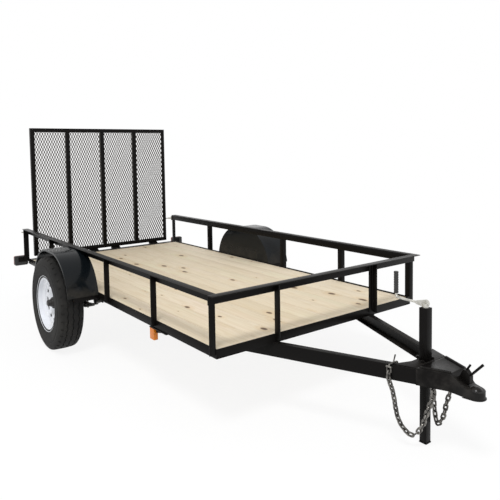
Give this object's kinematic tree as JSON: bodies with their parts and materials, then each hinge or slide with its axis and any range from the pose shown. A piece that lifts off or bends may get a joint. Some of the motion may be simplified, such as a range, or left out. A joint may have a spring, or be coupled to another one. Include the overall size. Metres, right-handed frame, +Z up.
{
  "type": "single-axle utility trailer",
  "caption": "Single-axle utility trailer with plank deck, angle-iron rails, drop-down mesh ramp gate, round fenders, A-frame tongue with ball coupler, jack and safety chains.",
  "frame": {"origin": "on the ground, at the middle of the trailer's footprint box", "axes": "+X forward along the tongue to the coupler, +Y to the trailer's left, +Z up"},
  "size_m": [4.2245, 2.1, 1.696],
  "materials": {
    "frame_black": "satin black paint",
    "fender_gloss": "gloss black paint",
    "mesh_steel": "black painted expanded metal",
    "deck_wood": "unfinished pressure-treated pine",
    "tyre_rubber": "black rubber",
    "wheel_white": "gloss white paint",
    "hub_dark": "satin black paint",
    "zinc_steel": "zinc plated",
    "grip_black": "matt black",
    "lens_red": "moulded red lens",
    "lens_amber": "moulded amber lens"
  },
  "bodies": {
    "chassis": {"frame_side_right": "frame_black", "frame_side_left": "frame_black", "frame_front_beam": "frame_black", "frame_rear_beam": "frame_black", "deck_crossmembers": "frame_black", "deck_boards": "deck_wood", "side_posts_right": "frame_black", "side_posts_left": "frame_black", "front_posts": "frame_black", "top_rail_right": "frame_black", "top_rail_left": "frame_black", "top_rail_front": "frame_black", "axle_beam": "hub_dark", "leaf_spring_right": "hub_dark", "leaf_spring_left": "hub_dark", "spring_hangers": "frame_black", "spring_clamps": "hub_dark", "fender_right": "fender_gloss", "fender_left": "fender_gloss", "fender_brackets": "frame_black", "tongue_member_right": "frame_black", "tongue_member_left": "frame_black", "tongue_plate": "frame_black", "coupler": "frame_black", "coupler_latch": "frame_black", "jack_tube": "frame_black", "jack_crank": "zinc_steel", "jack_grip": "grip_black", "gate_hinge_lugs": "frame_black", "gate_latches": "zinc_steel", "tail_light_housings": "grip_black", "tail_light_lenses": "lens_red", "tail_light_brackets": "frame_black", "side_marker_lenses": "lens_amber", "side_marker_brackets": "frame_black", "safety_chain_right": "zinc_steel", "safety_chain_left": "zinc_steel"},
    "wheel_right": {"tyre_right": "tyre_rubber", "rim_right": "wheel_white", "hub_right": "hub_dark"},
    "wheel_left": {"tyre_left": "tyre_rubber", "rim_left": "wheel_white", "hub_left": "hub_dark"},
    "gate": {"gate_sides": "frame_black", "gate_top_rail": "frame_black", "gate_bottom_rail": "frame_black", "gate_uprights": "frame_black", "gate_mesh": "mesh_steel", "gate_hinges": "frame_black"},
    "jack_leg": {"jack_leg": "frame_black", "jack_foot": "frame_black"}
  },
  "joints": [
    {"name": "wheel_right_spin", "type": "hinge", "parent": "chassis", "child": "wheel_right", "pos_m": [-0.75125, -0.9555, 0.344], "axis": [0, 1, 0], "continuous": true},
    {"name": "wheel_left_spin", "type": "hinge", "parent": "chassis", "child": "wheel_left", "pos_m": [-0.75125, 0.9555, 0.344], "axis": [0, 1, 0], "continuous": true},
    {"name": "gate_hinge", "type": "hinge", "parent": "chassis", "child": "gate", "pos_m": [-2.09925, 0, 0.457], "axis": [0, -1, 0], "range_deg": [0, 111]},
    {"name": "jack_leg_slide", "type": "slide", "parent": "chassis", "child": "jack_leg", "axis": [0, 0, 1], "range_m": [0, 0.225]}
  ]
}
